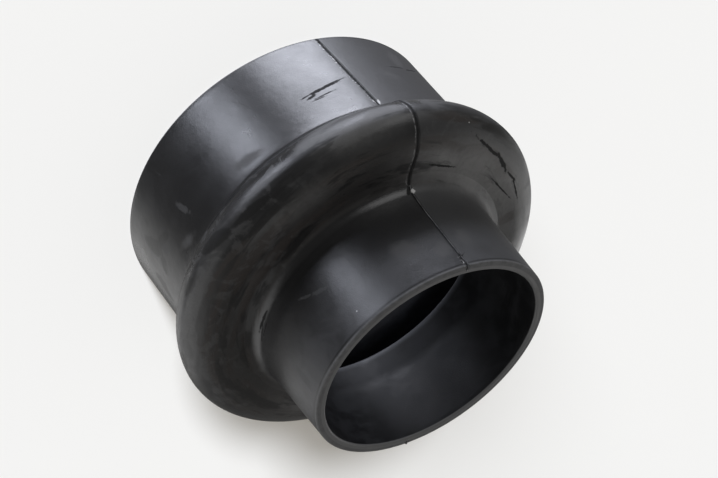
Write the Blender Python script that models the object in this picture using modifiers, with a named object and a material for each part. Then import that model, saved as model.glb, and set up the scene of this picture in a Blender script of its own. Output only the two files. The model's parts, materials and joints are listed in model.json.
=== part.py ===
"""Flexible rubber pipe coupling, stepped, moulded in one piece.

It stands on its large end: +Z runs along the pipe from the large cuff to the
small one, and the mould's parting line lies on -Y and +Y.
Run with: blender --background --python part.py
"""

import math

import bmesh
import bpy
from mathutils import Matrix, Vector

# Driving sizes, in metres. The draft is how much the small cuff's radius grows from rim to step.
LARGE_BORE = 0.1530
SMALL_BORE = 0.1048
CUFF_WALL = 0.0045
HUMP_WALL = 0.0045
STEP_WALL = 0.0060
LARGE_CUFF_LENGTH = 0.0567
HUMP_LENGTH = 0.0277
SMALL_CUFF_LENGTH = 0.0464
HUMP_RISE = 0.0107
SMALL_CUFF_DRAFT = 0.0033

# Roundings, in metres, and how the hump's back flank leans from the pipe's axis
RIM_ROUND = 0.0009
FRONT_FOOT_ROUND = 0.0070
FRONT_CREST_ROUND = 0.0133
BACK_CREST_ROUND = 0.0055
BACK_FOOT_ROUND = 0.0045
BORE_LIP_ROUND = 0.0020
BACK_SLOPE = math.radians(42.0)

# Flash left where the two mould halves met
FLASH_HEIGHT = 0.0004
FLASH_WIDTH = 0.0010
FLASH_RIM_GAP = 0.0020

# Facets: their count about the axis, and how deep one may cut across an arc
FACETS_ROUND = 64
FACET_DEPTH = 0.00008
MERGE_DISTANCE = 0.00002

# How much of a straight side its two arcs may take between them
SIDE_SHARE = 0.98

# Moulded rubber
RUBBER_COLOUR = (0.030, 0.030, 0.033, 1.0)
RUBBER_ROUGHNESS = 0.48

# What follows from the sizes above
LARGE_RADIUS = LARGE_BORE / 2 + CUFF_WALL
SMALL_RADIUS = SMALL_BORE / 2 + CUFF_WALL
CREST_RADIUS = LARGE_RADIUS + HUMP_RISE
STEP_HEIGHT = LARGE_CUFF_LENGTH + HUMP_LENGTH
TOTAL_HEIGHT = STEP_HEIGHT + SMALL_CUFF_LENGTH
BACK_CREST_HEIGHT = LARGE_CUFF_LENGTH + HUMP_RISE / math.tan(BACK_SLOPE)


def outside(rim_gap=0.0):
    """Corners (radius, height) and roundings of the outside, from the small rim down to the large."""
    corners = [
        Vector((SMALL_RADIUS, TOTAL_HEIGHT - rim_gap)),
        Vector((SMALL_RADIUS + SMALL_CUFF_DRAFT, STEP_HEIGHT)),
        Vector((CREST_RADIUS, STEP_HEIGHT)),
        Vector((CREST_RADIUS, BACK_CREST_HEIGHT)),
        Vector((LARGE_RADIUS, LARGE_CUFF_LENGTH)),
        Vector((LARGE_RADIUS, rim_gap)),
    ]
    rounds = [
        RIM_ROUND,
        FRONT_FOOT_ROUND,
        FRONT_CREST_ROUND,
        BACK_CREST_ROUND,
        BACK_FOOT_ROUND,
        RIM_ROUND,
    ]
    return corners, rounds


def moved_inwards(corners, rounds, depths):
    """The same outline deeper in the rubber: each side moves by its own depth, outwards if below 0.

    A rounding that bulges out gets tighter by the depth, and a hollow one gets wider. Both ends
    keep their heights, so a rim between two such outlines is flat.
    """
    sides = []
    for start, end, depth in zip(corners, corners[1:], depths):
        along = (end - start).normalized()
        inwards = Vector((along.y, -along.x)) * depth
        sides.append((start + inwards, end + inwards, along))
    first, last = sides[0], sides[-1]
    new_corners = [first[0] + first[2] * ((corners[0].y - first[0].y) / first[2].y)]
    new_rounds = [rounds[0]]
    for i in range(1, len(sides)):
        end, along = sides[i - 1][1:]
        start, next_along = sides[i][0], sides[i][2]
        bend = along.cross(next_along)
        new_corners.append(end + along * ((start - end).cross(next_along) / bend))
        depth = min(depths[i - 1], depths[i])
        new_rounds.append(rounds[i] + depth * math.copysign(1.0, bend))
    new_corners.append(last[1] + last[2] * ((corners[-1].y - last[1].y) / last[2].y))
    new_rounds.append(rounds[-1])
    return new_corners, new_rounds


def arc(before, corner, after, radius):
    """Points of the arc that rounds one corner, from the side before it to the side after it."""
    back = (before - corner).normalized()
    ahead = (after - corner).normalized()
    half = back.angle(ahead) / 2
    centre = corner + (back + ahead).normalized() * (radius / math.sin(half))
    start = corner + back * (radius / math.tan(half)) - centre
    end = corner + ahead * (radius / math.tan(half)) - centre
    sweep = -start.angle_signed(end)
    facet = 2 * math.acos(max(0.0, 1 - FACET_DEPTH / radius))
    steps = max(2, math.ceil(abs(sweep) / facet))
    return [centre + Matrix.Rotation(sweep * k / steps, 2) @ start for k in range(steps + 1)]


def rounded(corners, rounds, closed):
    """Points of an outline with its corners rounded; two arcs shrink where their side is too short."""
    count = len(corners)
    turning = range(count) if closed else range(1, count - 1)
    reach = [0.0] * count
    for i in turning:
        back = corners[i - 1] - corners[i]
        ahead = corners[(i + 1) % count] - corners[i]
        reach[i] = rounds[i] / math.tan(back.angle(ahead) / 2)
    shrink = [1.0] * count
    for i in range(count if closed else count - 1):
        j = (i + 1) % count
        room = (corners[j] - corners[i]).length * SIDE_SHARE
        share = room / max(room, reach[i] + reach[j])
        shrink[i] = min(shrink[i], share)
        shrink[j] = min(shrink[j], share)
    points = []
    for i in range(count):
        if i in turning:
            points += arc(corners[i - 1], corners[i], corners[(i + 1) % count], rounds[i] * shrink[i])
        else:
            points.append(corners[i])
    return points


def wall_section():
    """The closed section of the rubber: down the outside, across the large rim, up the inside."""
    corners, rounds = outside()
    walls = [CUFF_WALL, STEP_WALL, HUMP_WALL, HUMP_WALL, CUFF_WALL]
    inner_corners, inner_rounds = moved_inwards(corners, rounds, walls)
    inner_rounds[1] = BORE_LIP_ROUND
    return rounded(corners + inner_corners[::-1], rounds + inner_rounds[::-1], closed=True)


def flash_outline():
    """Outline of the thin flash: proud of the outside, rooted in the rubber, clear of both rims."""
    corners, rounds = outside(FLASH_RIM_GAP)
    sides = len(corners) - 1
    root = min(CUFF_WALL, HUMP_WALL, STEP_WALL) / 2
    proud = rounded(*moved_inwards(corners, rounds, [-FLASH_HEIGHT] * sides), closed=False)
    rooted = rounded(*moved_inwards(corners, rounds, [root] * sides), closed=False)
    return proud + rooted[::-1]


def rubber_material():
    """Satin black moulded rubber."""
    material = bpy.data.materials.new("moulded_rubber")
    material.use_nodes = True
    shader = material.node_tree.nodes["Principled BSDF"]
    shader.inputs["Base Color"].default_value = RUBBER_COLOUR
    shader.inputs["Roughness"].default_value = RUBBER_ROUGHNESS
    shader.inputs["Metallic"].default_value = 0.0
    return material


def turned_wall(collection):
    """The rubber wall: its section, turned about the pipe's axis."""
    mesh = bpy.data.meshes.new("rubber_coupling")
    section = bmesh.new()
    verts = [section.verts.new((point.x, 0.0, point.y)) for point in wall_section()]
    for start, end in zip(verts, verts[1:] + verts[:1]):
        section.edges.new((start, end))
    section.to_mesh(mesh)
    section.free()
    wall = bpy.data.objects.new("rubber_coupling", mesh)
    collection.objects.link(wall)
    screw = wall.modifiers.new("turn", "SCREW")
    screw.axis = "Z"
    screw.angle = math.tau
    screw.steps = FACETS_ROUND
    screw.render_steps = FACETS_ROUND
    screw.use_merge_vertices = True
    screw.merge_threshold = MERGE_DISTANCE
    screw.use_smooth_shade = True
    return wall


def parting_flash(name, heading, collection):
    """One flash, a closed thin plate that stands on the parting plane and is joined to the wall."""
    curve = bpy.data.curves.new(name, "CURVE")
    curve.dimensions = "2D"
    curve.fill_mode = "BOTH"
    curve.extrude = FLASH_WIDTH / 2
    outline = flash_outline()
    spline = curve.splines.new("POLY")
    spline.points.add(len(outline) - 1)
    for control, point in zip(spline.points, outline):
        control.co = (point.x, point.y, 0.0, 1.0)
    spline.use_cyclic_u = True
    plate = bpy.data.objects.new(name + "_outline", curve)
    collection.objects.link(plate)
    plate.rotation_euler = (math.radians(90.0), 0.0, heading)
    bpy.context.view_layer.update()
    evaluated = plate.evaluated_get(bpy.context.evaluated_depsgraph_get())
    mesh = bpy.data.meshes.new_from_object(evaluated)
    solid = bmesh.new()
    solid.from_mesh(mesh)
    bmesh.ops.remove_doubles(solid, verts=solid.verts, dist=MERGE_DISTANCE)
    bmesh.ops.recalc_face_normals(solid, faces=solid.faces)
    solid.to_mesh(mesh)
    solid.free()
    flash = bpy.data.objects.new(name, mesh)
    flash.matrix_world = plate.matrix_world
    flash.hide_render = True
    flash.display_type = "WIRE"
    collection.objects.link(flash)
    bpy.data.objects.remove(plate)
    return flash


def build():
    """Clear the scene and model the coupling."""
    for item in list(bpy.data.objects):
        bpy.data.objects.remove(item)
    parts = bpy.data.collections.new("pipe_coupling")
    joined = bpy.data.collections.new("joined_shapes")
    bpy.context.scene.collection.children.link(parts)
    bpy.context.scene.collection.children.link(joined)
    wall = turned_wall(parts)
    wall.data.materials.append(rubber_material())
    for name, heading in (("flash_front", -math.pi / 2), ("flash_back", math.pi / 2)):
        union = wall.modifiers.new(name, "BOOLEAN")
        union.operation = "UNION"
        union.solver = "EXACT"
        union.object = parting_flash(name, heading, joined)


build()
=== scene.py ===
# Stepped pipe coupling, moulded in one piece of black rubber, standing on its large end.
# Metres, +Z along the pipe from the large cuff to the small one, parting line on -Y and +Y.

import json
import math

import bpy
import numpy as np
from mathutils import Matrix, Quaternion, Vector

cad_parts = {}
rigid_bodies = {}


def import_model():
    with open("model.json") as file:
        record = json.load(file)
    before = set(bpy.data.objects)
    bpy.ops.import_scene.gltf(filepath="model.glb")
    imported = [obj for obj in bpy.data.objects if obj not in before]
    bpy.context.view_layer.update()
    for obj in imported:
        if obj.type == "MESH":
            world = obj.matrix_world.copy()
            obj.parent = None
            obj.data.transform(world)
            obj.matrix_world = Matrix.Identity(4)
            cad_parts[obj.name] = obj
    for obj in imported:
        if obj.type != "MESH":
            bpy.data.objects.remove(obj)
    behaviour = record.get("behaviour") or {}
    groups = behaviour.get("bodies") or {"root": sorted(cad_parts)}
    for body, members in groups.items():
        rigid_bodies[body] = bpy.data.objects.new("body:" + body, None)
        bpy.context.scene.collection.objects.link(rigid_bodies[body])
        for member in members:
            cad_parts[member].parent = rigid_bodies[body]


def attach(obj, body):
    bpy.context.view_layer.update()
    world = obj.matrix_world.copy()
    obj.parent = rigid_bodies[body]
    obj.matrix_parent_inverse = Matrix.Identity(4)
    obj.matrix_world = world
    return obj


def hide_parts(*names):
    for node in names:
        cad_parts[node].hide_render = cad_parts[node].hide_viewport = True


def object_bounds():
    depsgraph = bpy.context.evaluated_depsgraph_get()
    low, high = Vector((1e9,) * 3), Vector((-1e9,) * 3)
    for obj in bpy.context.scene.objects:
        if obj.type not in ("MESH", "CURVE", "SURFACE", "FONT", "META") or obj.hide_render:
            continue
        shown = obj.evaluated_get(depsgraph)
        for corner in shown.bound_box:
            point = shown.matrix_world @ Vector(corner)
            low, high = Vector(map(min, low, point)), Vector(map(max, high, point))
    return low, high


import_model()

cadLow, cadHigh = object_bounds()


# Helpers for both kinds of node tree

def addNode(tree, kind, inputs=None, **settings):
    node = tree.nodes.new(kind)
    for name, value in settings.items():
        setattr(node, name, value)
    for key, value in (inputs or {}).items():
        if isinstance(value, bpy.types.NodeSocket):
            tree.links.new(value, node.inputs[key])
        else:
            node.inputs[key].default_value = value
    return node


def calc(tree, operation, first, second=0.0, third=0.0, clamp=False):
    node = addNode(tree, "ShaderNodeMath", {0: first, 1: second, 2: third}, operation=operation)
    node.use_clamp = clamp
    return node.outputs[0]


def times(tree, first, *others):
    for other in others:
        first = calc(tree, "MULTIPLY", first, other)
    return first


def largest(tree, first, *others):
    for other in others:
        first = calc(tree, "MAXIMUM", first, other)
    return first


def vectorCalc(tree, operation, first, second=(0.0, 0.0, 0.0)):
    node = addNode(tree, "ShaderNodeVectorMath", {0: first, 1: second}, operation=operation)
    return node.outputs["Value" if operation in ("LENGTH", "DOT_PRODUCT") else "Vector"]


def remap(tree, value, fromLow, fromHigh, toLow=0.0, toHigh=1.0, smooth=True):
    names = {"Value": value, "From Min": fromLow, "From Max": fromHigh, "To Min": toLow, "To Max": toHigh}
    kind = "SMOOTHSTEP" if smooth else "LINEAR"
    return addNode(tree, "ShaderNodeMapRange", names, interpolation_type=kind).outputs["Result"]


def band(tree, value, rise, fall):  # 1 between two spans, and fading over each of them
    return times(tree, remap(tree, value, *rise), remap(tree, value, *fall))


def joinXyz(tree, x, y, z):
    return addNode(tree, "ShaderNodeCombineXYZ", {"X": x, "Y": y, "Z": z}).outputs["Vector"]


def noise(tree, place, scale, detail=2.0, roughness=0.5, distortion=0.0):
    names = {"Vector": place, "Scale": scale, "Detail": detail}
    names.update({"Roughness": roughness, "Distortion": distortion})
    return addNode(tree, "ShaderNodeTexNoise", names, noise_dimensions="3D").outputs[0]


def bell(tree, distance, width):  # 1 at distance 0, about 0.37 at one width
    share = calc(tree, "DIVIDE", distance, width)
    return calc(tree, "EXPONENT", times(tree, share, share, -1.0))


# The rubber wall: a section of corners with roundings, turned about the pipe's axis

wallSizes = {
    "largeRadius": 0.0814,     # outside of the large cuff, at its rim
    "footRadius": 0.0803,      # where the large cuff meets the hump
    "crestRadius": 0.0921,
    "smallRadius": 0.0569,     # outside of the small cuff, at its rim
    "smallDraft": 0.0033,      # how much wider the small cuff is at the step
    "footHeight": 0.0561,      # from the large rim to the foot of the hump
    "stepHeight": 0.0844,      # from the large rim to the step wall
    "stepDish": 0.0007,        # how far the step wall sinks from the crest to the crease
    "dishBelow": 0.3,          # share of that which lies below stepHeight
    "creaseRadius": 0.0664,    # sharp crease round the foot of the small cuff
    "creaseLift": 0.0011,      # how far the band inside the crease rises to the small cuff
    "shoulderDown": 0.0058,    # the hump's front shoulder starts this far below the step wall
    "shoulderIn": 0.0100,      # and ends this far in from the crest
    "backSlope": math.radians(43.3),
    "cuffWall": 0.0045,
    "stepWall": 0.0060,
}
roundings = {                  # radius in metres, then steps along the arc
    "rim": (0.0009, 4),
    "frontFoot": (0.0050, 10),
    "crease": (0.0002, 2),
    "shoulder": (0.0215, 8),
    "frontCrest": (0.0080, 14),
    "backCrest": (0.0140, 10),
    "backFoot": (0.0045, 6),
    "boreLip": (0.0020, 6),
    "innerFrontCrest": (0.0088, 12),
    "innerBackCrest": (0.0012, 3),
    "innerBackFoot": (0.0090, 6),
}
wallInputs = {                 # the tree's own inputs
    "Side Step": 0.0022,       # longest stretch between two rows
    "Columns": 288,
    "Crowding": 0.95,          # how much the columns crowd towards the parting line
    "Flash Height": 0.00034,
    "Flash Width": 0.00024,
    "Groove Depth": 0.00016,
    "Groove Offset": 0.00060,
    "Groove Width": 0.00022,
    "Waviness": 0.00022,
    "Large Oval": 0.0020,      # the cuffs are a little out of round
    "Large Oval Heading": math.radians(21.0),
    "Hump Oval": 0.0012,
    "Hump Oval Heading": math.radians(-42.0),
    "Small Oval": 0.0017,
    "Small Oval Heading": math.radians(-3.7),
    "Small Shift": (-0.0016, 0.0020, 0.0),
}
wallDetails = {                # finer sizes: the flash and the waves, then where the ovals fade
    "mergeDistance": 0.00001,
    "floorFade": (0.0004, 0.0020),     # nothing stands proud where the large rim meets the floor
    "flashScale": 260.0,
    "flashUneven": (0.45, 1.25),
    "smallNub": (0.0016, 0.0026),      # nubs on the flash: distance from the rim, and spread
    "largeNub": (0.0030, 0.0016),
    "nubGain": 1.3,
    "broadWaves": 16.0,
    "smallWaves": 70.0,
    "smallWavesShare": 0.22,
    "largeOvalFades": (0.0, 0.0608),
    "smallOvalGrows": (0.0770, 0.0972),
    "humpOvalGrows": (0.0500, 0.0640),
    "humpOvalRadii": (0.0640, 0.0760),
    "shiftGrows": (0.0770, 0.0932),
    "withinAbove": 0.6,                # the inside's materials start where its attribute passes this
    "deepAboveStep": 0.0003,           # the matt inside reaches this far past the step wall's inside
}
rubberSockets = ("Rubber", "Inside Rubber", "Deep Rubber")


def shiftedInwards(corners, depths):
    sides = []
    for start, end, depth in zip(corners, corners[1:], depths):
        along = (end - start).normalized()
        inwards = Vector((along.y, -along.x)) * depth
        sides.append((start + inwards, end + inwards, along))
    first, last = sides[0], sides[-1]
    moved = [first[0] + first[2] * ((corners[0].y - first[0].y) / first[2].y)]
    for before, after in zip(sides, sides[1:]):
        reach = (after[0] - before[1]).cross(after[2]) / before[2].cross(after[2])
        moved.append(before[1] + before[2] * reach)
    moved.append(last[1] + last[2] * ((corners[-1].y - last[1].y) / last[2].y))
    return moved


def sectionCorners():  # (radius, height), rounding's name, 1 on the inside of the wall
    size = wallSizes
    crest = size["crestRadius"]
    backCrest = size["footHeight"] + (crest - size["footRadius"]) / math.tan(size["backSlope"])
    smallFoot = size["smallRadius"] + size["smallDraft"]
    outside = [
        Vector((size["smallRadius"], cadHigh.z)),
        Vector((smallFoot, size["stepHeight"])),
        Vector((crest, size["stepHeight"])),
        Vector((crest, backCrest)),
        Vector((size["footRadius"], size["footHeight"])),
        Vector((size["largeRadius"], 0.0)),
    ]
    walls = [size["cuffWall"], size["stepWall"], size["cuffWall"], size["cuffWall"], size["cuffWall"]]
    inside = shiftedInwards(outside, walls)
    crease = Vector((size["creaseRadius"], size["stepHeight"] - size["stepDish"] * size["dishBelow"]))
    outside[1].y = crease.y + size["creaseLift"]
    outside[2].y -= size["shoulderDown"]
    shoulderHeight = size["stepHeight"] + size["stepDish"] * (1 - size["dishBelow"])
    shoulder = Vector((crest - size["shoulderIn"], shoulderHeight))
    outside[2:2] = [crease, shoulder]
    outsideNames = ["rim", "frontFoot", "crease", "shoulder", "frontCrest", "backCrest", "backFoot", "rim"]
    insideNames = ["rim", "boreLip", "innerFrontCrest", "innerBackCrest", "innerBackFoot", "rim"]
    corners = [(place, name, 0.0) for place, name in zip(outside, outsideNames)]
    return corners + [(place, name, 1.0) for place, name in zip(inside[::-1], insideNames[::-1])]


def sectionMesh():
    corners = sectionCorners()
    count = len(corners)
    mesh = bpy.data.meshes.new("wallSection")
    edges = [(i, (i + 1) % count) for i in range(count)]
    mesh.from_pydata([(place.x, 0.0, place.y) for place, name, side in corners], edges, [])
    layers = (
        ("rounding", "FLOAT", [roundings[name][0] for place, name, side in corners]),
        ("arcSteps", "INT", [roundings[name][1] for place, name, side in corners]),
        ("inside", "FLOAT", [side for place, name, side in corners]),
    )
    for name, kind, values in layers:
        mesh.attributes.new(name, kind, "POINT").data.foreach_set("value", values)
    return mesh


def namedValue(tree, name, kind="FLOAT"):
    node = addNode(tree, "GeometryNodeInputNamedAttribute", {"Name": name}, data_type=kind)
    return node.outputs["Attribute"]


def turnedSection(tree, given):
    curve = addNode(tree, "GeometryNodeMeshToCurve", {"Mesh": given["Geometry"]}).outputs["Curve"]
    filletInputs = {
        "Curve": curve,
        "Radius": namedValue(tree, "rounding"),
        "Count": namedValue(tree, "arcSteps", "INT"),
        "Limit Radius": True,
    }
    fillet = addNode(tree, "GeometryNodeFilletCurve", filletInputs, mode="POLY").outputs["Curve"]
    place = addNode(tree, "GeometryNodeInputPosition").outputs["Position"]
    index = addNode(tree, "GeometryNodeInputIndex").outputs["Index"]
    following = addNode(tree, "GeometryNodeOffsetPointInCurve", {"Point Index": index, "Offset": 1})
    nextInputs = {"Index": following.outputs["Point Index"], "Value": place}
    nextKinds = {"data_type": "FLOAT_VECTOR", "domain": "POINT"}
    nextPlace = addNode(tree, "GeometryNodeFieldAtIndex", nextInputs, **nextKinds).outputs["Value"]
    stretch = vectorCalc(tree, "LENGTH", vectorCalc(tree, "SUBTRACT", nextPlace, place))
    cuts = calc(tree, "FLOOR", calc(tree, "DIVIDE", stretch, given["Side Step"]))
    section = addNode(tree, "GeometryNodeSubdivideCurve", {"Curve": fillet, "Cuts": cuts}).outputs["Curve"]
    sizes = addNode(tree, "GeometryNodeAttributeDomainSize", {"Geometry": section}, component="CURVE")
    rows = sizes.outputs["Point Count"]

    # A flat grid, one row for each point of the section, is rolled up round the axis
    gridInputs = {
        "Size X": rows,
        "Size Y": given["Columns"],
        "Vertices X": calc(tree, "ADD", rows, 1.0),
        "Vertices Y": calc(tree, "ADD", given["Columns"], 1.0),
    }
    grid = addNode(tree, "GeometryNodeMeshGrid", gridInputs).outputs["Mesh"]
    cell = addNode(tree, "ShaderNodeSeparateXYZ", {"Vector": place})
    row = calc(tree, "ROUND", calc(tree, "ADD", cell.outputs["X"], times(tree, rows, 0.5)))
    row = calc(tree, "MODULO", row, rows)
    column = calc(tree, "ADD", cell.outputs["Y"], times(tree, given["Columns"], 0.5))
    even = times(tree, calc(tree, "DIVIDE", column, given["Columns"]), math.tau)
    swing = calc(tree, "SINE", times(tree, even, 2.0))
    angle = calc(tree, "ADD", even, times(tree, swing, times(tree, given["Crowding"], 0.5)))

    def sampled(value, kind):
        names = {"Geometry": section, "Value": value, "Index": row}
        kinds = {"data_type": kind, "domain": "POINT"}
        return addNode(tree, "GeometryNodeSampleIndex", names, **kinds).outputs["Value"]

    point = addNode(tree, "ShaderNodeSeparateXYZ", {"Vector": sampled(place, "FLOAT_VECTOR")})
    radius, height = point.outputs["X"], point.outputs["Z"]
    across = times(tree, radius, calc(tree, "COSINE", angle))
    depth = times(tree, radius, calc(tree, "SINE", angle))
    runLength = addNode(tree, "GeometryNodeSplineParameter").outputs["Length"]
    mesh = grid
    for name, value in (
        ("inside", sampled(namedValue(tree, "inside"), "FLOAT")),
        ("seam", across),
        ("run", sampled(runLength, "FLOAT")),
    ):
        names = {"Geometry": mesh, "Name": name, "Value": value}
        kinds = {"data_type": "FLOAT", "domain": "POINT"}
        mesh = addNode(tree, "GeometryNodeStoreNamedAttribute", names, **kinds).outputs["Geometry"]
    turnInputs = {"Geometry": mesh, "Position": joinXyz(tree, across, depth, height)}
    mesh = addNode(tree, "GeometryNodeSetPosition", turnInputs).outputs["Geometry"]
    mergeInputs = {"Geometry": mesh, "Distance": wallDetails["mergeDistance"]}
    return addNode(tree, "GeometryNodeMergeByDistance", mergeInputs).outputs["Geometry"]


def flashAndWaves(tree, given, mesh):  # what stands proud of the turned form, along its normals
    look = wallDetails
    place = addNode(tree, "GeometryNodeInputPosition").outputs["Position"]
    split = addNode(tree, "ShaderNodeSeparateXYZ", {"Vector": place}).outputs
    seamDistance = calc(tree, "ABSOLUTE", split["X"])
    outside = calc(tree, "SUBTRACT", 1.0, namedValue(tree, "inside"))
    uneven = remap(tree, noise(tree, place, look["flashScale"]), 0.30, 0.70, *look["flashUneven"])
    fromSmallRim = calc(tree, "SUBTRACT", split["Z"], cadHigh.z - look["smallNub"][0])
    fromLargeRim = calc(tree, "SUBTRACT", split["Z"], look["largeNub"][0])
    smallNub = bell(tree, fromSmallRim, look["smallNub"][1])
    largeNub = bell(tree, fromLargeRim, look["largeNub"][1])
    nub = calc(tree, "ADD", 1.0, times(tree, calc(tree, "ADD", smallNub, largeNub), look["nubGain"]))
    flash = times(tree, bell(tree, seamDistance, given["Flash Width"]), given["Flash Height"], uneven, nub)
    grooveAt = calc(tree, "SUBTRACT", seamDistance, given["Groove Offset"])
    groove = times(tree, bell(tree, grooveAt, given["Groove Width"]), given["Groove Depth"])
    line = times(tree, calc(tree, "SUBTRACT", flash, groove), outside)
    broad = calc(tree, "SUBTRACT", noise(tree, place, look["broadWaves"], 1.0), 0.5)
    small = calc(tree, "SUBTRACT", noise(tree, place, look["smallWaves"], 2.0), 0.5)
    waves = calc(tree, "ADD", broad, times(tree, small, look["smallWavesShare"]))
    waves = times(tree, waves, given["Waviness"])
    aboveFloor = remap(tree, split["Z"], *look["floorFade"])
    lift = times(tree, calc(tree, "ADD", line, waves), aboveFloor)
    normal = addNode(tree, "GeometryNodeInputNormal").outputs["Normal"]
    offset = vectorCalc(tree, "MULTIPLY", normal, joinXyz(tree, lift, lift, lift))
    return addNode(tree, "GeometryNodeSetPosition", {"Geometry": mesh, "Offset": offset}).outputs["Geometry"]


def outOfRound(tree, given, mesh):  # soft cuffs never stand quite round, and the small one leans aside
    look = wallDetails
    place = addNode(tree, "GeometryNodeInputPosition").outputs["Position"]
    split = addNode(tree, "ShaderNodeSeparateXYZ", {"Vector": place})
    x, y, z = (split.outputs[name] for name in "XYZ")
    angle = calc(tree, "ARCTAN2", y, x)
    radius = vectorCalc(tree, "LENGTH", joinXyz(tree, x, y, 0.0))

    def squeezed(piece, share):
        turn = times(tree, calc(tree, "SUBTRACT", angle, given[piece + " Oval Heading"]), 2.0)
        return times(tree, given[piece + " Oval"], calc(tree, "COSINE", turn), share)

    nearLarge = remap(tree, z, *look["largeOvalFades"], 1.0, 0.0, smooth=False)
    nearSmall = remap(tree, z, *look["smallOvalGrows"], smooth=False)
    outwards = remap(tree, radius, *look["humpOvalRadii"])
    nearHump = times(tree, remap(tree, z, *look["humpOvalGrows"]), outwards)
    grow = calc(tree, "ADD", squeezed("Large", nearLarge), squeezed("Small", nearSmall))
    grow = calc(tree, "ADD", grow, squeezed("Hump", nearHump))
    scale = calc(tree, "DIVIDE", grow, radius)
    pushed = joinXyz(tree, times(tree, x, scale), times(tree, y, scale), 0.0)
    aside = remap(tree, z, *look["shiftGrows"], smooth=False)
    shift = vectorCalc(tree, "MULTIPLY", given["Small Shift"], joinXyz(tree, aside, aside, aside))
    offset = vectorCalc(tree, "ADD", pushed, shift)
    return addNode(tree, "GeometryNodeSetPosition", {"Geometry": mesh, "Offset": offset}).outputs["Geometry"]


def wallTree():
    tree = bpy.data.node_groups.new("couplingWall", "GeometryNodeTree")
    tree.is_modifier = True
    tree.interface.new_socket("Geometry", in_out="INPUT", socket_type="NodeSocketGeometry")
    for name, value in wallInputs.items():
        kind = {int: "Int", float: "Float", tuple: "Vector"}[type(value)]
        tree.interface.new_socket(name, in_out="INPUT", socket_type="NodeSocket" + kind)
    for name in rubberSockets:
        tree.interface.new_socket(name, in_out="INPUT", socket_type="NodeSocketMaterial")
    tree.interface.new_socket("Geometry", in_out="OUTPUT", socket_type="NodeSocketGeometry")
    given = addNode(tree, "NodeGroupInput").outputs
    mesh = turnedSection(tree, given)
    mesh = flashAndWaves(tree, given, mesh)
    mesh = outOfRound(tree, given, mesh)
    mesh = addNode(tree, "GeometryNodeSetShadeSmooth", {"Geometry": mesh}).outputs["Geometry"]
    mesh = addNode(tree, "GeometryNodeRealizeInstances", {"Geometry": mesh}).outputs["Geometry"]
    # the inside, and deeper still the large end's inside, take the darker rubbers that paint shade in the
    # hollow
    within = calc(tree, "GREATER_THAN", namedValue(tree, "inside"), wallDetails["withinAbove"])
    place = addNode(tree, "GeometryNodeInputPosition").outputs["Position"]
    height = addNode(tree, "ShaderNodeSeparateXYZ", {"Vector": place}).outputs["Z"]
    deepTop = wallSizes["stepHeight"] - wallSizes["stepWall"] + wallDetails["deepAboveStep"]
    deep = times(tree, within, calc(tree, "LESS_THAN", height, deepTop))
    for name, selection in zip(rubberSockets, (True, within, deep)):
        names = {"Geometry": mesh, "Selection": selection, "Material": given[name]}
        mesh = addNode(tree, "GeometryNodeSetMaterial", names).outputs["Geometry"]
    addNode(tree, "NodeGroupOutput", {"Geometry": mesh})
    return tree


def makeWall(materials):
    guide = bpy.data.objects.new("wallSection", sectionMesh())
    bpy.context.scene.collection.objects.link(guide)
    tree = wallTree()
    modifier = guide.modifiers.new("wall", "NODES")
    modifier.node_group = tree
    sockets = {item.name: item.identifier for item in tree.interface.items_tree if item.in_out == "INPUT"}
    for name, value in wallInputs.items():
        modifier[sockets[name]] = value
    for name, material in zip(rubberSockets, materials):
        modifier[sockets[name]] = material
    bpy.context.view_layer.update()
    evaluated = guide.evaluated_get(bpy.context.evaluated_depsgraph_get())
    mesh = bpy.data.meshes.new_from_object(evaluated)
    guide.modifiers.remove(modifier)
    bpy.data.objects.remove(guide)
    mesh.name = "couplingBody"
    slots = [mesh.materials[face.material_index] for face in mesh.polygons]
    mesh.materials.clear()     # the evaluated mesh has an empty slot before the rubber's
    for material in materials:
        mesh.materials.append(material)
    mesh.polygons.foreach_set("material_index", [materials.index(slot) for slot in slots])
    body = bpy.data.objects.new("coupling_body", mesh)
    bpy.context.scene.collection.objects.link(body)
    return body


# Marks on the rubber: kind, then heading in degrees, radius and height of the middle, half the length
# along the ring, half the width across it, lean in degrees and strength

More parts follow.
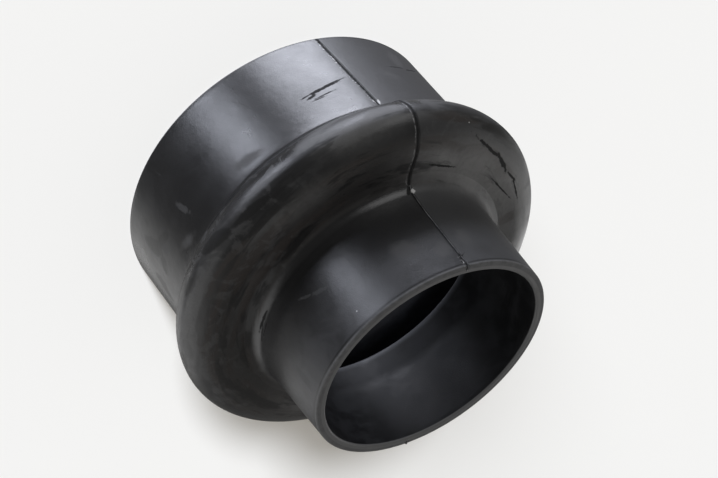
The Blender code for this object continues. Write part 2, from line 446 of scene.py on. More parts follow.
marks = (
    ("smearAndShadow", -20.0, 0.0810, 0.0070, 0.0075, 0.0030, 70.0, 0.8),
    ("bloomAndSheen", -3.7, 0.0810, 0.0328, 0.0042, 0.0052, 0.0, 0.6),
    ("smearAndShadow", 1.5, 0.0810, 0.0245, 0.0024, 0.0075, -10.0, 1.1),
    ("smearAndShadow", -5.0, 0.0810, 0.0300, 0.0060, 0.0022, 26.0, 0.9),
    ("smearAndShadow", 3.0, 0.0810, 0.0360, 0.0050, 0.0020, -36.0, 0.9),
    ("smearAndShadow", 13.5, 0.0810, 0.0360, 0.0022, 0.0085, 20.0, 1.0),
    ("smearAndShadow", -30.0, 0.0810, 0.0120, 0.0100, 0.0060, 10.0, 0.9),
    ("bloomAndSheen", -14.0, 0.0810, 0.0470, 0.0080, 0.0030, 20.0, 0.6),
    ("bloomAndSheen", -46.0, 0.0810, 0.0480, 0.0090, 0.0030, 10.0, 0.7),
    ("bloomAndSheen", -43.4, 0.0810, 0.0478, 0.0032, 0.0022, 20.0, 0.6),
    ("smearAndShadow", -29.4, 0.0907, 0.0760, 0.0058, 0.0026, 24.0, 0.9),
    ("smearAndShadow", -13.7, 0.0914, 0.0737, 0.0030, 0.0020, 40.0, 0.8),
    ("smearAndShadow", 14.6, 0.0910, 0.0752, 0.0055, 0.0026, 12.0, 1.0),
    ("smearAndShadow", 26.5, 0.0879, 0.0804, 0.0080, 0.0028, 12.0, 0.9),
    ("bloomAndSheen", 2.0, 0.0900, 0.0780, 0.0190, 0.0040, 0.0, 0.55),
    ("smearAndShadow", -7.0, 0.0860, 0.0820, 0.0120, 0.0024, -4.0, 0.8),
    ("bloomAndSheen", -37.6, 0.0835, 0.0832, 0.0160, 0.0024, 2.0, 0.7),
    ("bloomAndSheen", -10.0, 0.0660, 0.0844, 0.0200, 0.0028, 0.0, 0.9),
    ("dustAndSheen", -105.0, 0.0710, 0.0844, 0.0170, 0.0070, 0.0, 1.0),
    ("dustAndSheen", -122.0, 0.0740, 0.0844, 0.0210, 0.0095, 0.0, 1.2),
    ("dustAndSheen", -141.0, 0.0720, 0.0844, 0.0160, 0.0100, 0.0, 1.1),
    ("dustAndSheen", -157.0, 0.0690, 0.0844, 0.0110, 0.0060, 0.0, 0.45),
    ("dustAndSheen", -50.0, 0.0785, 0.0844, 0.0200, 0.0050, 0.0, 0.30),
    ("dustAndSheen", -30.0, 0.0915, 0.0745, 0.0260, 0.0050, 0.0, 0.16),
    ("dustAndSheen", 4.0, 0.0910, 0.0750, 0.0200, 0.0050, 0.0, 0.20),
    ("dustAndSheen", -18.0, 0.0740, 0.0844, 0.0200, 0.0028, 0.0, 0.16),
    ("dirt", -14.0, 0.0845, 0.0828, 0.0280, 0.0034, 0.0, 1.2),
    ("dirt", -30.0, 0.0800, 0.0844, 0.0220, 0.0026, -4.0, 1.2),
    ("dirt", -25.0, 0.0698, 0.0844, 0.0260, 0.0024, 0.0, 1.2),
    ("smearAndShadow", -12.5, 0.0912, 0.0746, 0.0050, 0.0018, 14.0, 1.0),
    ("smearAndShadow", -3.0, 0.0860, 0.0822, 0.0070, 0.0022, 0.0, 1.0),
    ("smearAndShadow", 16.5, 0.0914, 0.0738, 0.0040, 0.0024, 10.0, 1.1),
    ("smearAndShadow", -27.0, 0.0908, 0.0752, 0.0070, 0.0020, 20.0, 1.0),
    ("smearAndShadow", -40.0, 0.0890, 0.0790, 0.0090, 0.0016, 6.0, 0.9),
    ("smearAndShadow", 8.0, 0.0890, 0.0792, 0.0060, 0.0020, -10.0, 0.9),
    ("dustAndSheen", -74.0, 0.0885, 0.0803, 0.0150, 0.0040, 0.0, 0.30),
    # painted highlight: these two patches brighten the hump's crest beside the parting line
    ("bloomAndSheen", -72.0, 0.0915, 0.0730, 0.0200, 0.0068, 0.0, 1.1),
    ("dustAndSheen", -72.0, 0.0915, 0.0738, 0.0190, 0.0062, 0.0, 0.42),
    # painted reflection: brightens the hump's back flank, where it mirrors the large cuff
    ("dustAndSheen", -106.0, 0.0870, 0.0650, 0.0170, 0.0090, 0.0, 0.35),
    ("dirt", -98.5, 0.0805, 0.0843, 0.0150, 0.0022, 0.0, 1.0),
    ("dirt", -116.0, 0.0800, 0.0843, 0.0160, 0.0024, -8.0, 1.1),
    ("dirt", -131.0, 0.0790, 0.0844, 0.0130, 0.0026, -10.0, 1.1),
    ("dirt", -160.0, 0.0735, 0.0844, 0.0030, 0.0080, 0.0, 1.2),
    ("dirt", -104.0, 0.0890, 0.0790, 0.0160, 0.0026, 0.0, 0.8),
    ("bloomAndSheen", -112.0, 0.0905, 0.0765, 0.0130, 0.0024, -6.0, 0.8),
    ("smearAndShadow", -124.0, 0.0890, 0.0790, 0.0140, 0.0022, -8.0, 0.9),
    ("bloomAndSheen", -116.2, 0.0810, 0.0150, 0.0030, 0.0080, 20.0, 1.0),
    ("bloomAndSheen", -106.0, 0.0810, 0.0330, 0.0070, 0.0040, 30.0, 0.5),
    ("bloomAndSheen", -72.0, 0.0578, 0.1120, 0.0070, 0.0050, 30.0, 0.7),
    ("bloomAndSheen", -86.0, 0.0575, 0.1190, 0.0060, 0.0045, -40.0, 0.6),
    ("bloomAndSheen", -100.0, 0.0577, 0.1150, 0.0050, 0.0060, 30.0, 0.6),
    ("bloomAndSheen", -6.3, 0.0573, 0.1240, 0.0024, 0.0060, 10.0, 0.9),
    ("bloomAndSheen", 0.4, 0.0574, 0.1200, 0.0022, 0.0085, 6.0, 0.8),
    ("bloomAndSheen", 60.0, 0.0810, 0.0300, 0.0120, 0.0100, 30.0, 0.6),
    ("smearAndShadow", 84.0, 0.0810, 0.0220, 0.0130, 0.0022, 24.0, 0.9),
    ("bloomAndSheen", 130.0, 0.0810, 0.0360, 0.0150, 0.0060, -20.0, 0.7),
    ("smearAndShadow", 158.0, 0.0900, 0.0760, 0.0140, 0.0022, 5.0, 0.9),
    ("dirt", 100.0, 0.0790, 0.0844, 0.0240, 0.0024, 0.0, 1.0),
    ("dustAndSheen", 75.0, 0.0700, 0.0844, 0.0180, 0.0060, 0.0, 0.9),
    ("bloomAndSheen", 170.0, 0.0578, 0.1120, 0.0080, 0.0050, 20.0, 0.8),
)

# Finer marks, drawn by the material: kind, heading, radius, height, half length, half width and lean.
# The width runs along the pipe, or along the radius where the kind's name ends in Wall
strokes = (
    ("dark", -73.4, 0.0810, 0.0376, 0.0030, 0.00075, -16.0),
    ("dark", -75.0, 0.0810, 0.0356, 0.0056, 0.00050, -8.0),
    ("dark", -78.8, 0.0810, 0.0352, 0.0080, 0.00060, -11.0),
    ("dark", -82.0, 0.0810, 0.0336, 0.0072, 0.00035, -10.0),
    ("dark", -77.5, 0.0810, 0.0392, 0.0050, 0.00035, -8.0),
    ("dark", -75.0, 0.0810, 0.0404, 0.0038, 0.00028, -2.0),
    ("pale", -19.8, 0.0810, 0.0358, 0.0015, 0.0052, -16.0),
    ("pale", -19.5, 0.0810, 0.0085, 0.00035, 0.0056, -14.0),
    # painted highlight streaks along the hump's crest and back flank
    ("pale", -71.5, 0.0913, 0.0728, 0.0090, 0.00070, 5.0),
    ("pale", -46.0, 0.0905, 0.0750, 0.0100, 0.00110, 3.0),
    ("pale", -62.0, 0.0880, 0.0645, 0.0200, 0.00080, 2.0),
    ("dark", -120.5, 0.0810, 0.0215, 0.0066, 0.00060, -24.0),
    ("dark", -112.0, 0.0810, 0.0240, 0.0050, 0.00050, -10.0),
    ("pale", -27.0, 0.0590, 0.1010, 0.0030, 0.00070, 30.0),
    ("pale", -33.4, 0.0588, 0.1044, 0.0040, 0.00090, 24.0),
    ("dark", -2.0, 0.0603, 0.0872, 0.0065, 0.00050, 4.0),
    ("dark", 4.5, 0.0601, 0.0880, 0.0050, 0.00040, -4.0),
    ("dark", 1.0, 0.0599, 0.0892, 0.0060, 0.00035, 2.0),
    ("darkWall", -104.0, 0.0680, 0.0844, 0.0080, 0.00060, 3.0),
    ("darkWall", -121.0, 0.0812, 0.0843, 0.0100, 0.00075, 9.0),
    ("darkWall", -131.5, 0.0795, 0.0844, 0.0070, 0.00100, 12.0),
    ("darkWall", -140.0, 0.0790, 0.0844, 0.0055, 0.00060, -6.0),
    ("darkWall", -141.0, 0.0720, 0.0844, 0.0110, 0.00040, -8.0),
    ("darkWall", -147.0, 0.0785, 0.0844, 0.0080, 0.00055, 4.0),
    ("dark", -90.0, 0.0620, 0.0868, 0.0009, 0.00220, 20.0),
    ("chip", -91.8, 0.0618, 0.0874, 0.0010, 0.00100, 0.0),
    ("chip", -90.6, 0.0810, 0.0530, 0.0006, 0.00160, 20.0),
    ("dark", -90.8, 0.0573, 0.1265, 0.0004, 0.00320, 14.0),
    ("dark", -92.4, 0.0573, 0.1250, 0.0020, 0.00035, -30.0),
)


markFalloff = 0.7          # how fast a mark fades from its middle
strokeDepth = 1 / 60       # how deep a drawn stroke reaches
strokeGrain = 2.2          # how ragged it is
strokeEdge = (1.25, 0.75)


def paintMarks(mesh):  # each kind becomes an attribute that rises towards the middles of its marks
    count = len(mesh.vertices)
    places = np.empty(count * 3)
    mesh.vertices.foreach_get("co", places)
    places = places.reshape(count, 3)
    run = np.empty(count)
    mesh.attributes["run"].data.foreach_get("value", run)
    inside = np.empty(count)
    mesh.attributes["inside"].data.foreach_get("value", inside)
    radius = np.hypot(places[:, 0], places[:, 1])
    heading = np.arctan2(places[:, 1], places[:, 0])
    painted = {kind: np.zeros(count) for kind in ("smearAndShadow", "bloomAndSheen", "dirt", "dustAndSheen")}
    for kind, middle, markRadius, height, long, wide, lean, strength in marks:
        away = np.hypot(radius - markRadius, places[:, 2] - height) + inside
        middleRun = run[np.argmin(away)]
        turn = (heading - math.radians(middle) + math.pi) % math.tau - math.pi
        along = turn * markRadius
        across = run - middleRun
        lean = math.radians(lean)
        first = (along * math.cos(lean) + across * math.sin(lean)) / long
        second = (across * math.cos(lean) - along * math.sin(lean)) / wide
        shade = strength * np.exp(-markFalloff * (first ** 2 + second ** 2)) * (1.0 - inside)
        painted[kind] = np.maximum(painted[kind], shade)
    for kind, values in painted.items():
        mesh.attributes.new(kind, "FLOAT", "POINT").data.foreach_set("value", values)


# Moulded rubber

rubberLook = {
    "black": (0.0085, 0.0085, 0.0095, 1.0),
    "haze": (0.0200, 0.0205, 0.0220, 1.0),      # faint clouds all over
    "wall": (0.0360, 0.0340, 0.0330, 1.0),      # the step wall, brownish with dirt
    "beyond": (0.0520, 0.0525, 0.0550, 1.0),    # the duller half, past the parting line
    "rimHaze": (0.0480, 0.0490, 0.0530, 1.0),   # near the small rim
    "bloomAndSheen": (0.0600, 0.0600, 0.0610, 1.0),     # grey chalky patches, and on the hump's crest painted highlight streaks
    # pale dust; on the hump's crest and back flank the same colour is a painted highlight and a painted
    # reflection
    "dustAndSheen": (0.1950, 0.1930, 0.1920, 1.0),
    "smearAndShadow": (0.0050, 0.0050, 0.0055, 1.0),     # where something wiped or stained it; the same colour paints the shadow beside the parting fin and the shade along the rims
    "dirt": (0.0220, 0.0165, 0.0140, 1.0),
    "paleEdge": (0.2200, 0.2200, 0.2250, 1.0),      # the fin on the parting line, painted pale as a highlight along it
    "rim": (0.1350, 0.1350, 0.1370, 1.0),
    "speck": (0.5000, 0.5000, 0.5000, 1.0),
    "roughness": 0.31,
    "flankRoughness": 0.19,    # the hump's back flank
    "dullRoughness": 0.48,
    "bloomRoughness": 0.62,
    "smearRoughness": 0.40,
    "wornRoughness": 0.85,
    "smallRougher": 0.05,      # how much rougher the small cuff is
    "roughPatches": 0.24,
    "lip": (0.0600, 0.0620, 0.0680, 1.0),       # painted sheen on the edge inside, where the small cuff ends
    # the bore's rubber is darker and less glossy than the outside: painted shade inside the hollow
    "inside": (0.0050, 0.0050, 0.0056, 1.0),
    "insideHaze": (0.0110, 0.0115, 0.0130, 1.0),
    "insideRoughness": 0.52,
    "insidePatches": 0.14,
    "insideSpecular": 0.26,
    "deepSpecular": 0.05,      # the large end's inside, made nearly glossless: painted shade deep in the hollow
}
rubberZones = {                # heights over which a zone comes in, then over which it ends
    "hump": ((0.0590, 0.0640), (0.0862, 0.0850)),
    "wall": ((0.0820, 0.0838), (0.0862, 0.0852)),
    "flank": ((0.0560, 0.0590), (0.0760, 0.0690)),
    "lip": ((0.0780, 0.0786), (0.0825, 0.0795)),
    "large": (0.0570, 0.0550),
    "small": (0.0880, 0.0940),
    "rimHaze": (0.1000, 0.1190),
    "smallSpecks": (0.1190, 0.1215),
    "front": (0.0, -0.0200),           # along Y
    "right": (0.0300, 0.0650),         # along X
    "beyond": (0.0004, -0.0004),       # across the parting line
}
rubberNoise = {                # scale, detail, roughness and distortion
    "coarse": (55.0, 5.0, 0.62, 0.6),
    "fine": (420.0, 4.0, 0.6, 0.3),
    "clouds": (34.0, 4.0, 0.6, 0.5),
    "patches": (120.0, 5.0, 0.6, 0.9),
    "uneven": (700.0, 2.0),
    "wander": (90.0, 2.0),
    "rims": (330.0, 4.0, 0.6),
    "peel": (150.0, 3.0, 0.55),
    "grain": (2400.0, 2.0),
    "insideGrain": (2000.0, 3.0),
}
rubberRings = {                # noise in streaks along the ring: stretch, scale, roughness and shift
    "streaks": (0.14, 260.0),
    "smears": (0.20, 170.0, 0.6, 0.31),
    "inside": (0.5, 130.0),
}
ringRadius = 0.08
patternEdges = {               # noise where a pattern starts and where it is full; for some, shares there
    "clouds": (0.42, 0.70),
    "streaks": (0.46, 0.66),
    "wallDirt": (0.50, 0.62),
    "patches": (0.52, 0.60),
    "smears": (0.52, 0.60),
    "insideHaze": (0.40, 0.68),
    "bloomAndSheen": (0.26, 0.66),
    "smearAndShadow": (0.28, 0.52),
    "dirt": (0.30, 0.62),
    "litFin": (0.36, 0.60),
    "seamSpecks": (0.54, 0.62),
    "lone": (0.84, 0.85),
    "rims": (0.35, 0.60, 0.55, 1.0),
    "line": (0.20, 0.45, 0.7, 1.0),
    "rimHaze": (-0.16, 0.10, 0.45, 1.0),
    "dustAndSheen": (-0.15, 0.15, 0.65, 1.0),
}
patternShares = {
    "fine": 0.5,
    "clouds": 0.6,
    "patches": 0.55,
    "pale": 0.6,
    "smears": 0.75,
    "wallDirt": 0.8,
}
layerShares = {                # how well each colour covers the ones below it
    "wall": 0.6,
    "beyond": (0.45, 0.95),            # the last is on the large cuff
    "rimHaze": 0.8,
    "dirt": 0.85,
    "bloomAndSheen": 0.75,
    "smearAndShadow": 0.9,
    "rim": 0.8,
    "lines": 0.85,
    "lip": 0.8,
}
bumps = {                      # noise, strength and distance
    "outside": (("peel", 0.30, 0.0004), ("grain", 0.25, 0.0002)),
    "inside": (("insideGrain", 0.30, 0.0002),),
}
raggedness = 0.55
partingLook = {                # places and widths across the parting line, in metres; its dark lines are painted shadow beside the fin
    "wander": 0.0016,          # how far the line wanders on the hump
    "lineAt": 0.00040,         # on the cuffs; on the hump it is in the middle
    "smallWidth": 0.00026,
    "largeWidth": 0.00046,
    "humpWidth": 0.00080,
    "farLine": (0.00065, 0.00020),
    "farShare": 0.6,
    "lineGain": 1.5,
    "underFin": 0.8,           # how much of the line the fin hides
    "cuffFin": -0.00015,
    "humpFin": 0.00150,
    "finWidth": 0.00024,
    "litFin": (0.1000, 0.0050),       # height of the stretch where the fin's painted highlight is strongest, and its spread
    "litFinGain": 1.5,
    # pale specks beside the fin, painted highlight: offset from the seam, and spread
    "seamSpecks": (0.00110, 0.00045),
}
rimLook = {                    # distances from the rims over which their worn edge lies, and the dark line of painted shade along their rounding
    "smallWorn": (0.0013, 0.0006),
    "largeWorn": (0.0014, 0.0004),
    "smallLine": (0.0017, 0.00035),
    "largeLine": (0.0016, 0.0004),
    "insideWorn": (0.0012, 0.0006),
}
speckCells = 70.0
speckSize = (0.028, 0.018)


def blend(tree, factor, first, second):  # colours
    names = {0: factor, 6: first, 7: second}
    return addNode(tree, "ShaderNodeMix", names, data_type="RGBA").outputs[2]


def between(tree, factor, first, second):  # numbers
    names = {0: factor, 2: first, 3: second}
    return addNode(tree, "ShaderNodeMix", names, data_type="FLOAT").outputs[0]


def painted(tree, name):
    return addNode(tree, "ShaderNodeAttribute", attribute_name=name).outputs["Fac"]


def ragged(tree, kind, grain):  # painted marks with their edges broken up
    shade = calc(tree, "ADD", painted(tree, kind), times(tree, grain, raggedness))
    return remap(tree, shade, *patternEdges[kind])


def drawnStrokes(tree, place, grain, kind):
    total = None
    for name, heading, radius, height, long, wide, lean in strokes:
        if not name.startswith(kind):
            continue
        turn, lean = math.radians(heading), math.radians(lean)
        outwards = Vector((math.cos(turn), math.sin(turn), 0.0))
        along = Vector((-outwards.y, outwards.x, 0.0))
        upwards = Vector((0.0, 0.0, 1.0))
        across, deep = (outwards, upwards) if name.endswith("Wall") else (-upwards, outwards)
        middle = outwards * radius + Vector((0.0, 0.0, height))
        away = vectorCalc(tree, "SUBTRACT", place, middle)
        first = (along * math.cos(lean) + across * math.sin(lean)) / long
        second = (across * math.cos(lean) - along * math.sin(lean)) / wide
        distance = vectorCalc(tree, "LENGTH", joinXyz(
            tree,
            vectorCalc(tree, "DOT_PRODUCT", away, first),
            vectorCalc(tree, "DOT_PRODUCT", away, second),
            times(tree, vectorCalc(tree, "DOT_PRODUCT", away, deep), 1 / strokeDepth),
        ))
        distance = calc(tree, "ADD", distance, times(tree, grain, strokeGrain))
        mask = remap(tree, distance, *strokeEdge)
        total = mask if total is None else largest(tree, total, mask)
    return total


def ringNoise(tree, place, stretch, scale, roughness=0.6, shift=0.0):  # runs in streaks along the ring
    split = addNode(tree, "ShaderNodeSeparateXYZ", {"Vector": place}).outputs
    flat = joinXyz(tree, split["X"], split["Y"], 0.0)
    around = vectorCalc(tree, "MULTIPLY", vectorCalc(tree, "NORMALIZE", flat), (ringRadius * stretch,) * 3)
    names = {
        "Vector": vectorCalc(tree, "ADD", around, joinXyz(tree, shift, 0.0, split["Z"])),
        "W": vectorCalc(tree, "LENGTH", flat),
        "Scale": scale,
        "Detail": 4.0,
        "Roughness": roughness,
        "Distortion": 0.3,
    }
    return addNode(tree, "ShaderNodeTexNoise", names, noise_dimensions="4D").outputs[0]


def newMaterial(name):
    material = bpy.data.materials.new(name)
    material.use_nodes = True
    tree = material.node_tree
    return material, tree, tree.nodes["Principled BSDF"]


def addBumps(tree, shader, place, side):
    normal = None
    for kind, strength, distance in bumps[side]:
        grain = noise(tree, place, *rubberNoise[kind])
        names = {"Height": grain, "Strength": strength, "Distance": distance}
        if normal is not None:
            names["Normal"] = normal
        normal = addNode(tree, "ShaderNodeBump", names).outputs["Normal"]
    tree.links.new(normal, shader.inputs["Normal"])


def partingLine(tree, place, fine, height, seam, onHump, onLarge):  # painted shadow lines beside the fin, a painted highlight on the fin, and pale specks of painted highlight
    look, edge = partingLook, patternEdges
    uneven = noise(tree, place, *rubberNoise["uneven"])
    wander = calc(tree, "SUBTRACT", noise(tree, place, *rubberNoise["wander"]), 0.5)
    wander = times(tree, wander, look["wander"])
    across = calc(tree, "ADD", seam, times(tree, wander, onHump))
    lineAt = between(tree, onHump, look["lineAt"], 0.0)
    cuffWidth = between(tree, onLarge, look["smallWidth"], look["largeWidth"])
    lineWidth = between(tree, onHump, cuffWidth, look["humpWidth"])
    # painted shadow: dark lines on both sides of the fin, the far one on the cuffs only
    near = bell(tree, calc(tree, "SUBTRACT", across, lineAt), lineWidth)
    far = bell(tree, calc(tree, "ADD", across, look["farLine"][0]), look["farLine"][1])
    far = times(tree, far, times(tree, calc(tree, "SUBTRACT", 1.0, onHump), look["farShare"]))
    line = calc(tree, "MULTIPLY", largest(tree, near, far), look["lineGain"], clamp=True)
    line = times(tree, line, remap(tree, uneven, *edge["line"]))
    # painted highlight along the fin, stronger in stretches
    finAt = between(tree, onHump, look["cuffFin"], look["humpFin"])
    fin = bell(tree, calc(tree, "SUBTRACT", across, finAt), look["finWidth"])
    bareAt, bareSpread = look["litFin"]
    litStretch = bell(tree, calc(tree, "SUBTRACT", height, bareAt), bareSpread)
    litStretch = times(tree, litStretch, look["litFinGain"])
    litStretch = largest(tree, remap(tree, uneven, *edge["litFin"]), litStretch)
    fin = calc(tree, "MULTIPLY", fin, litStretch, clamp=True)
    # painted highlight: pale specks on the fin's lit side
    seamSpecks = bell(tree, calc(tree, "SUBTRACT", across, look["seamSpecks"][0]), look["seamSpecks"][1])
    speckled = largest(tree, onLarge, remap(tree, height, *rubberZones["smallSpecks"]))
    seamSpecks = times(tree, seamSpecks, speckled, remap(tree, uneven, *edge["seamSpecks"]))
    seamSpecks = largest(tree, seamSpecks, drawnStrokes(tree, place, fine, "chip"))
    line = times(tree, line, calc(tree, "SUBTRACT", 1.0, times(tree, fin, look["underFin"])))
    return line, fin, seamSpecks


def wornRims(tree, place, height):  # a pale edge on each rim, and beside it a dark line of painted shade along the rounding
    look = rimLook
    toSmallRim = calc(tree, "SUBTRACT", cadHigh.z, height)
    smallWorn = remap(tree, toSmallRim, *look["smallWorn"])
    paleEdge = largest(tree, smallWorn, remap(tree, height, *look["largeWorn"]))
    patchy = remap(tree, noise(tree, place, *rubberNoise["rims"]), *patternEdges["rims"])
    # painted shade along each rim's rounding
    lines = [
        bell(tree, calc(tree, "SUBTRACT", distance, look[name][0]), look[name][1])
        for name, distance in (("smallLine", toSmallRim), ("largeLine", height))
    ]
    return times(tree, paleEdge, patchy), largest(tree, *lines)


def paleSpecks(tree, place):
    cells = addNode(tree, "ShaderNodeTexVoronoi", {"Vector": place, "Scale": speckCells}).outputs
    chance = addNode(tree, "ShaderNodeSeparateXYZ", {"Vector": cells["Color"]}).outputs["X"]
    lone = remap(tree, chance, *patternEdges["lone"])
    return times(tree, remap(tree, cells["Distance"], *speckSize), lone)


def rubberMaterial():
    look, zone, edge, share, cover = rubberLook, rubberZones, patternEdges, patternShares, layerShares
    material, tree, shader = newMaterial("satin_rubber")
    place = addNode(tree, "ShaderNodeTexCoord").outputs["Object"]
    split = addNode(tree, "ShaderNodeSeparateXYZ", {"Vector": place}).outputs
    height = split["Z"]
    seam = painted(tree, "seam")
    beyond = remap(tree, seam, *zone["beyond"])
    onFront = remap(tree, split["Y"], *zone["front"])
    onRight = remap(tree, split["X"], *zone["right"])
    onHump = band(tree, height, *zone["hump"])
    onWall = band(tree, height, *zone["wall"])
    onFlank = band(tree, height, *zone["flank"])
    onLarge = remap(tree, height, *zone["large"])
    onSmall = remap(tree, height, *zone["small"])

    # Clouds, streaks along the ring, and ragged patches
    coarse = calc(tree, "SUBTRACT", noise(tree, place, *rubberNoise["coarse"]), 0.5)
    fine = calc(tree, "SUBTRACT", noise(tree, place, *rubberNoise["fine"]), 0.5)
    broken = calc(tree, "ADD", coarse, times(tree, fine, share["fine"]))
    streaks = ringNoise(tree, place, *rubberRings["streaks"])
    clouds = remap(tree, noise(tree, place, *rubberNoise["clouds"]), *edge["clouds"])
    streaky = times(tree, remap(tree, streaks, *edge["streaks"]), onHump)
    haze = largest(tree, times(tree, clouds, share["clouds"]), streaky)
    rimHaze = remap(tree, coarse, *edge["rimHaze"])
    rimHaze = times(tree, remap(tree, height, *zone["rimHaze"]), rimHaze)
    patches = remap(tree, noise(tree, place, *rubberNoise["patches"]), *edge["patches"])
    onSides = times(tree, onHump, largest(tree, onRight, beyond))
    patches = times(tree, patches, times(tree, onSides, share["patches"]))
    # pale strokes, which on the hump's crest and flank are painted highlight streaks, take the bloom colour
    # with the bloom marks
    pale = times(tree, drawnStrokes(tree, place, fine, "pale"), share["pale"])
    bloomAndSheen = largest(tree, ragged(tree, "bloomAndSheen", broken), patches, pale)
    smears = remap(tree, ringNoise(tree, place, *rubberRings["smears"]), *edge["smears"])
    smears = times(tree, smears, times(tree, onHump, share["smears"]))
    smearAndShadow = largest(tree, ragged(tree, "smearAndShadow", broken), smears)
    marked = drawnStrokes(tree, place, fine, "dark")
    # dust, and on the hump's crest and back flank a painted highlight and a painted reflection
    dustAndSheen = times(tree, painted(tree, "dustAndSheen"), remap(tree, broken, *edge["dustAndSheen"]))
    wallDirt = remap(tree, streaks, *edge["wallDirt"])
    wallDirt = times(tree, wallDirt, times(tree, onWall, share["wallDirt"]))
    dirt = largest(tree, ragged(tree, "dirt", broken), wallDirt)
    line, fin, seamSpecks = partingLine(tree, place, fine, height, seam, onHump, onLarge)
    paleEdge, rimLine = wornRims(tree, place, height)
    speck = paleSpecks(tree, place)

    # Colours, each over the ones before it
    shaded = times(tree, beyond, onFront)
    colour = blend(tree, haze, look["black"], look["haze"])
    for mask, name in (
        (times(tree, onWall, cover["wall"]), "wall"),
        (times(tree, shaded, between(tree, onLarge, *cover["beyond"])), "beyond"),
        (times(tree, rimHaze, cover["rimHaze"]), "rimHaze"),
        (times(tree, dirt, cover["dirt"]), "dirt"),
        (times(tree, bloomAndSheen, cover["bloomAndSheen"]), "bloomAndSheen"),
        (dustAndSheen, "dustAndSheen"),
        (largest(tree, times(tree, smearAndShadow, cover["smearAndShadow"]), marked), "smearAndShadow"),
        (times(tree, paleEdge, cover["rim"]), "rim"),
        # painted highlight on the parting fin
        (fin, "paleEdge"),
        # painted shadow beside the parting fin and painted shade along the rims, in the smear colour
        (times(tree, largest(tree, line, rimLine), cover["lines"]), "smearAndShadow"),
        # pale specks, and beside the fin specks of painted highlight
        (largest(tree, speck, times(tree, seamSpecks, onFront)), "speck"),
    ):
        colour = blend(tree, mask, colour, look[name])
    tree.links.new(colour, shader.inputs["Base Color"])

    roughness = between(tree, shaded, look["roughness"], look["dullRoughness"])
    roughness = calc(tree, "ADD", roughness, times(tree, onSmall, look["smallRougher"]))
    roughness = between(tree, times(tree, onFlank, onFront), roughness, look["flankRoughness"])
    roughness = calc(tree, "ADD", roughness, times(tree, coarse, look["roughPatches"]))
    roughness = between(tree, largest(tree, bloomAndSheen, dustAndSheen, dirt), roughness, look["bloomRoughness"])
    roughness = between(tree, smearAndShadow, roughness, look["smearRoughness"])
    roughness = between(tree, largest(tree, line, paleEdge, marked), roughness, look["wornRoughness"])
    tree.links.new(roughness, shader.inputs["Roughness"])
    addBumps(tree, shader, place, "outside")
    return material


# darker, less glossy copies of the rubber for the inside: painted shade in the hollow
def insideMaterial(name, specular):
    look = rubberLook
    material, tree, shader = newMaterial(name)
    place = addNode(tree, "ShaderNodeTexCoord").outputs["Object"]
    height = addNode(tree, "ShaderNodeSeparateXYZ", {"Vector": place}).outputs["Z"]
    haze = remap(tree, ringNoise(tree, place, *rubberRings["inside"]), *patternEdges["insideHaze"])
    colour = blend(tree, haze, look["inside"], look["insideHaze"])
    # painted sheen on the bore's lip
    lip = band(tree, height, *rubberZones["lip"])
    colour = blend(tree, times(tree, lip, layerShares["lip"]), colour, look["lip"])
    wornFrom, wornTo = (cadHigh.z - distance for distance in rimLook["insideWorn"])
    colour = blend(tree, remap(tree, height, wornFrom, wornTo), colour, look["rim"])
    tree.links.new(colour, shader.inputs["Base Color"])
    uneven = times(tree, calc(tree, "SUBTRACT", haze, 0.5), look["insidePatches"])
    roughness = calc(tree, "ADD", look["insideRoughness"], uneven)
    tree.links.new(roughness, shader.inputs["Roughness"])
    shader.inputs["Specular IOR Level"].default_value = specular
    addBumps(tree, shader, place, "inside")
    return material


# Floor, light and camera

floorLook = {
    "size": 12.0,
    "colour": (0.935, 0.945, 0.960, 1.0),
    "ownLight": 0.14,          # share of the floor's tone that is its own, so its shadows stay soft
    "ownColour": (0.80, 0.66, 0.44, 1.0),
}


def makeFloor():
    half = floorLook["size"] / 2
    mesh = bpy.data.meshes.new("floor")
    corners = [(x * half, y * half, 0.0) for x, y in ((-1, -1), (1, -1), (1, 1), (-1, 1))]
    mesh.from_pydata(corners, [], [(0, 1, 2, 3)])
    floor = bpy.data.objects.new("floor", mesh)
    bpy.context.scene.collection.objects.link(floor)
    floor.visible_glossy = False
    floor.visible_diffuse = False
    floor.visible_shadow = False
    material = bpy.data.materials.new("floor")
    material.use_nodes = True
    tree = material.node_tree
    tree.nodes.remove(tree.nodes["Principled BSDF"])
    lit = addNode(tree, "ShaderNodeBsdfDiffuse", {"Color": floorLook["colour"]})
    own = addNode(tree, "ShaderNodeEmission", {"Color": floorLook["ownColour"], "Strength": 1.0})
    rays = addNode(tree, "ShaderNodeLightPath").outputs
    seen = largest(tree, rays["Is Camera Ray"], rays["Is Glossy Ray"], rays["Is Transmission Ray"])
    share = times(tree, seen, floorLook["ownLight"])
    mixed = addNode(tree, "ShaderNodeMixShader", {0: share, 1: lit.outputs[0], 2: own.outputs[0]})
    tree.links.new(mixed.outputs[0], tree.nodes["Material Output"].inputs["Surface"])
    mesh.materials.append(material)
    return floor


worldLook = {
    "light": (1.00, 0.98, 0.94, 1.0),
    "strength": 0.16,
    "seen": (0.90, 0.90, 0.90, 1.0),
}


def makeWorld():
    world = bpy.data.worlds.new("studio")
    bpy.context.scene.world = world
    world.use_nodes = True
    tree = world.node_tree
    light = tree.nodes["Background"]
    light.inputs["Color"].default_value = worldLook["light"]
    light.inputs["Strength"].default_value = worldLook["strength"]
    seen = addNode(tree, "ShaderNodeBackground", {"Color": worldLook["seen"], "Strength": 1.0})
    rays = addNode(tree, "ShaderNodeLightPath").outputs
    names = {0: rays["Is Camera Ray"], 1: light.outputs[0], 2: seen.outputs[0]}
    mixed = addNode(tree, "ShaderNodeMixShader", names)
    tree.links.new(mixed.outputs[0], tree.nodes["World Output"].inputs["Surface"])


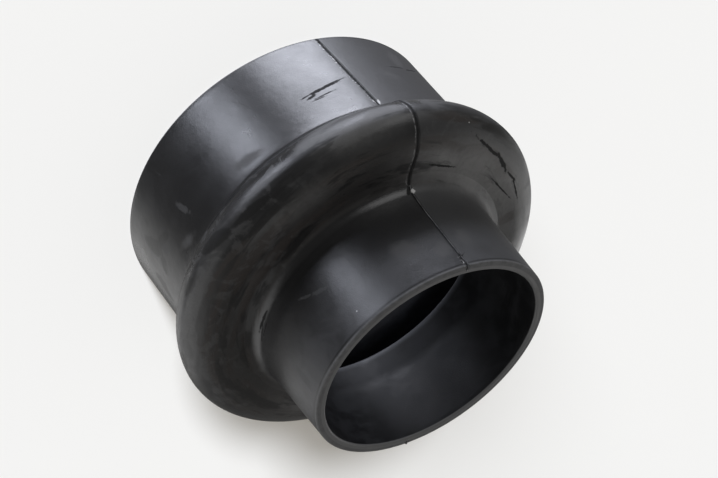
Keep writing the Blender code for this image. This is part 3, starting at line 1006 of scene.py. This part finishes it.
# Soft boxes that light the coupling: heading and height of the way to the lamp, how wide and high, and
# how bright. Most stand behind the floor, because in the picture the object lies on its side there
lamps = {
    "overhead": {
        "heading": -106.5, "height": -46.5, "wide": 0.70, "high": 0.52, "watts": 12.4,
        "colour": (0.86, 0.89, 1.00),
    },
    "side": {
        "heading": -44.8, "height": -34.0, "wide": 0.36, "high": 0.70, "watts": 8.0,
        "colour": (0.84, 0.88, 1.00),
    },
    "front": {"heading": -108.0, "height": 22.0, "wide": 0.80, "high": 0.77, "watts": 4.2},
    "tableRight": {"heading": 43.0, "height": 13.0, "wide": 1.49, "high": 1.65, "watts": 9.6},
    "tableLeft": {"heading": 153.0, "height": 5.0, "wide": 0.75, "high": 1.20, "watts": 4.2},
    "back": {"heading": 64.0, "height": -40.0, "wide": 0.75, "high": 0.58, "watts": 1.1},
}
lampAway = 1.2
white = (1.0, 1.0, 1.0)

# Sunlight on the floor alone, which draws the coupling's shadow: one crisp part and one soft
floorSuns = {
    "shadow": {"heading": -66.0, "height": 28.0, "spread": 9.0, "strength": 3.72},
    "softShadow": {"heading": -56.0, "height": 18.0, "spread": 24.0, "strength": 3.15},
}
sunColour = (0.962, 0.980, 1.0)


def wayTo(look):
    heading, height = math.radians(look["heading"]), math.radians(look["height"])
    level = math.cos(height)
    return Vector((level * math.cos(heading), level * math.sin(heading), math.sin(height)))


def placeLamp(light, way, receiver):  # a lamp that lights one object
    lamp = bpy.data.objects.new(light.name, light)
    lamp.location = (cadLow + cadHigh) / 2 + way * lampAway
    lamp.rotation_mode = "QUATERNION"
    lamp.rotation_quaternion = way.to_track_quat("Z", "Y")
    bpy.context.scene.collection.objects.link(lamp)
    lit = bpy.data.collections.new("lit by " + light.name)
    lit.objects.link(receiver)
    lamp.light_linking.receiver_collection = lit


def makeLamps(coupling, floor):
    for name, look in lamps.items():
        light = bpy.data.lights.new(name, "AREA")
        light.shape = "RECTANGLE"
        light.size = look["wide"]
        light.size_y = look["high"]
        light.energy = look["watts"]
        light.color = look.get("colour", white)
        placeLamp(light, wayTo(look), coupling)
    for name, look in floorSuns.items():
        light = bpy.data.lights.new(name, "SUN")
        light.angle = math.radians(look["spread"])
        light.color = sunColour
        light.energy = look["strength"]
        placeLamp(light, wayTo(look), floor)


cameraLook = {
    "place": (0.26018, -0.33106, 0.36443),
    "aim": (-0.05554, 0.05516, 0.0),   # where the middle of the picture meets the floor
    "roll": math.radians(140.54),      # the object lies on its side in the picture
    "lens": 56.156,
    "sensor": 36.0,
    "near": 0.01,
    "far": 50.0,
}


def makeCamera():
    data = bpy.data.cameras.new("camera")
    data.sensor_width = cameraLook["sensor"]
    data.lens = cameraLook["lens"]
    data.clip_start = cameraLook["near"]
    data.clip_end = cameraLook["far"]
    camera = bpy.data.objects.new("camera", data)
    place = Vector(cameraLook["place"])
    ahead = (Vector(cameraLook["aim"]) - place).normalized()
    camera.location = place
    camera.rotation_mode = "QUATERNION"
    roll = Quaternion((0.0, 0.0, 1.0), cameraLook["roll"])
    camera.rotation_quaternion = ahead.to_track_quat("-Z", "Y") @ roll
    bpy.context.scene.collection.objects.link(camera)
    bpy.context.scene.camera = camera


bpy.context.scene.view_settings.view_transform = "Standard"
makeCamera()
makeWorld()
floor = makeFloor()
print("camera, floor and world are set")

coupling = makeWall([
    rubberMaterial(),
    insideMaterial("bore_rubber", rubberLook["insideSpecular"]),
    insideMaterial("deep_rubber", rubberLook["deepSpecular"]),
])
paintMarks(coupling.data)
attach(coupling, "root")
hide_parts("rubber_coupling")
print("coupling body:", len(coupling.data.polygons), "faces")
makeLamps(coupling, floor)
print("lamps are set")
